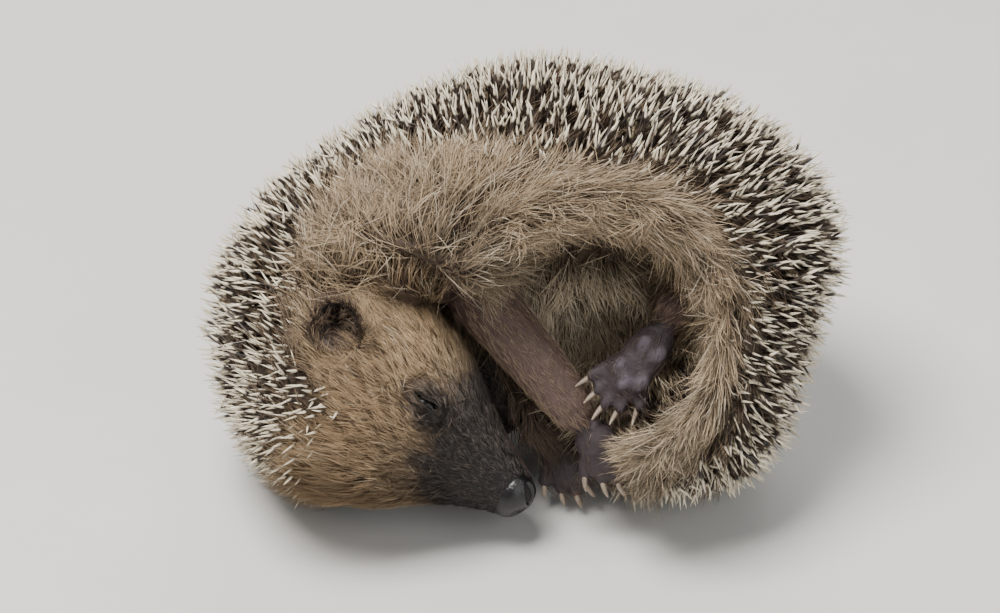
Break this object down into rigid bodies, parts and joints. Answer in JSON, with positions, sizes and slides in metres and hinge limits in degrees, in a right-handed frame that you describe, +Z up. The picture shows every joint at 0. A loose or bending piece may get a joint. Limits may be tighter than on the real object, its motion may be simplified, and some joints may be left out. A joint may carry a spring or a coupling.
{
  "type": "hedgehog",
  "caption": "A young hedgehog asleep, loosely curled on its right side, quills over the back, furred flank and face, feet tucked into the curl; a still life-size figure",
  "frame": {"origin": "on the floor, under the middle of the animal's outline", "axes": "+Z up; +X from the head side of the curl to the rump side; -Y faces the open side of the curl, where the left flank, face and feet show"},
  "size_m": [0.125, 0.0866, 0.0836],
  "materials": {
    "quilled_coat": "banded cream and dark brown quills over brown skin",
    "furred_coat": "coarse grey-brown to tan hair",
    "bare_skin": "thinly haired purplish grey skin",
    "nose_pad": "moist black grained skin",
    "eye": "wet black eye behind closed lids"
  },
  "bodies": {
    "root": {"neck": "quilled_coat", "shoulders": "quilled_coat", "trunk": "quilled_coat", "rump": "quilled_coat", "head": "furred_coat", "snout": "furred_coat", "jaw": "furred_coat", "belly": "furred_coat", "tail": "furred_coat", "ear_left": "bare_skin", "ear_right": "bare_skin", "foreleg_left": "bare_skin", "foreleg_right": "bare_skin", "hindleg_left": "bare_skin", "hindleg_right": "bare_skin", "forepaw_left": "bare_skin", "forepaw_right": "bare_skin", "hindfoot_left": "bare_skin", "hindfoot_right": "bare_skin", "nose": "nose_pad", "eye_left": "eye", "eye_right": "eye"}
  },
  "joints": []
}
